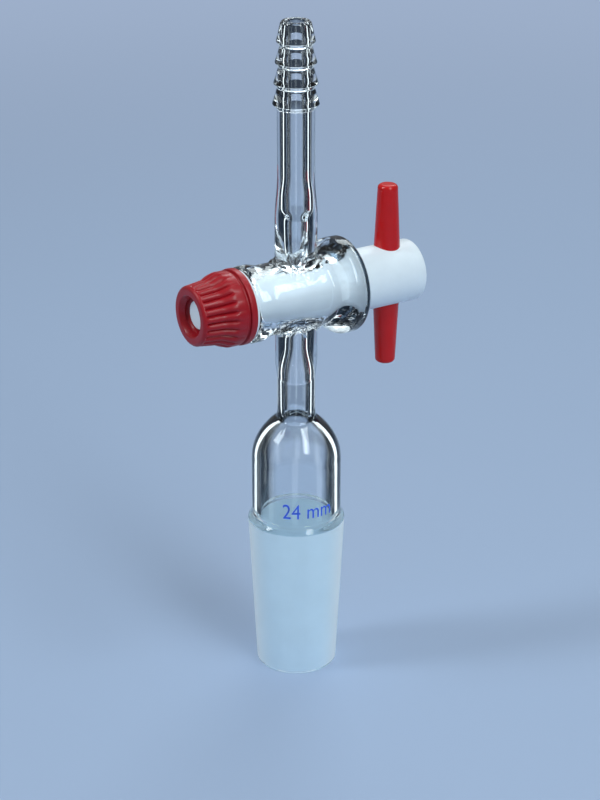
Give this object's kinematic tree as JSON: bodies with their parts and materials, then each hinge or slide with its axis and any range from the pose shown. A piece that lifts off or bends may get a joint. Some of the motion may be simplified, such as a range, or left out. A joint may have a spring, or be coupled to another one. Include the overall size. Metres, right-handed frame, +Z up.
{
  "type": "glass stopcock",
  "caption": "Straight glass stopcock: ground male cone below, stepped hose barb above, a white tapered plug across the flow line with a red T-handle and a red ribbed nut.",
  "frame": {"origin": "centre of the ground cone's foot, the face that it stands on", "axes": "+Z up the flow line to the hose barb, +X along the barrel towards the handle"},
  "size_m": [0.0622, 0.024, 0.165],
  "materials": {
    "clear_glass": "clear, with a ground cone",
    "white_polymer": "turned, satin",
    "red_plastic": "moulded, glossy",
    "black_rubber": "smooth"
  },
  "bodies": {
    "glass": {"glass_body": "clear_glass"},
    "plug": {"stopcock_plug": "white_polymer", "handle": "red_plastic", "washer": "white_polymer"},
    "ring": {"sealing_ring": "black_rubber"},
    "nut": {"tension_nut": "red_plastic"}
  },
  "joints": [
    {"name": "plug_turn", "type": "hinge", "parent": "glass", "child": "plug", "pos_m": [0, 0, 0.099], "axis": [1, 0, 0], "continuous": true},
    {"name": "nut_travel", "type": "slide", "parent": "plug", "child": "ring", "axis": [-1, 0, 0], "range_m": [0, 0.00901]},
    {"name": "nut_turn", "type": "hinge", "parent": "ring", "child": "nut", "pos_m": [-0.022, 0, 0.099], "axis": [-1, 0, 0], "range_deg": [0, 1620]}
  ],
  "couplings": [
    {"joint": "nut_travel", "follows": "nut_turn", "m_per_rad": 0.00031831}
  ]
}
